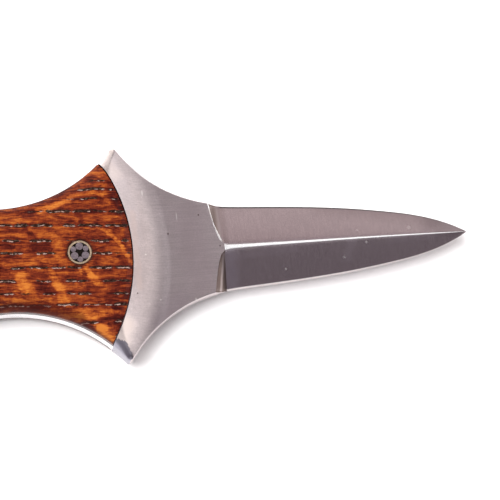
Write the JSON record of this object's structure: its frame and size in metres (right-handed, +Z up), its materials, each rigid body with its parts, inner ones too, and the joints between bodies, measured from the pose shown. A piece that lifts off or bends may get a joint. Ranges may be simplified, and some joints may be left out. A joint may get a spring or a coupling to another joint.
{
  "type": "double-edged boot knife",
  "caption": "Full-tang double-edged boot knife with an integral flared bolster guard, a diamond-section blade, wooden scales and mosaic pins.",
  "frame": {"origin": "middle of the bounding box in plan, on the flat face of the lower scale that the knife lies on", "axes": "+X along the knife to the blade's tip, +Y across the blade's width, +Z up through the thickness"},
  "size_m": [0.2024, 0.0574, 0.0158],
  "materials": {
    "steel": "satin bolster with lengthwise polishing lines, ground bevels",
    "liner": "black vulcanised fibre",
    "wood": "dyed stabilised oak, polished",
    "brass": "sanded flush",
    "rod_steel": "sanded flush",
    "resin": "dark epoxy"
  },
  "bodies": {
    "root": {"blade_and_tang": "steel", "liner_upper": "liner", "liner_lower": "liner", "scale_upper": "wood", "scale_lower": "wood", "front_pin_tube": "brass", "front_pin_large_rod_1": "rod_steel", "front_pin_large_rod_2": "rod_steel", "front_pin_large_rod_3": "rod_steel", "front_pin_small_rod_1": "rod_steel", "front_pin_small_rod_2": "rod_steel", "front_pin_small_rod_3": "rod_steel", "front_pin_resin": "resin", "rear_pin_tube": "brass", "rear_pin_large_rod_1": "rod_steel", "rear_pin_large_rod_2": "rod_steel", "rear_pin_large_rod_3": "rod_steel", "rear_pin_small_rod_1": "rod_steel", "rear_pin_small_rod_2": "rod_steel", "rear_pin_small_rod_3": "rod_steel", "rear_pin_resin": "resin"}
  },
  "joints": []
}
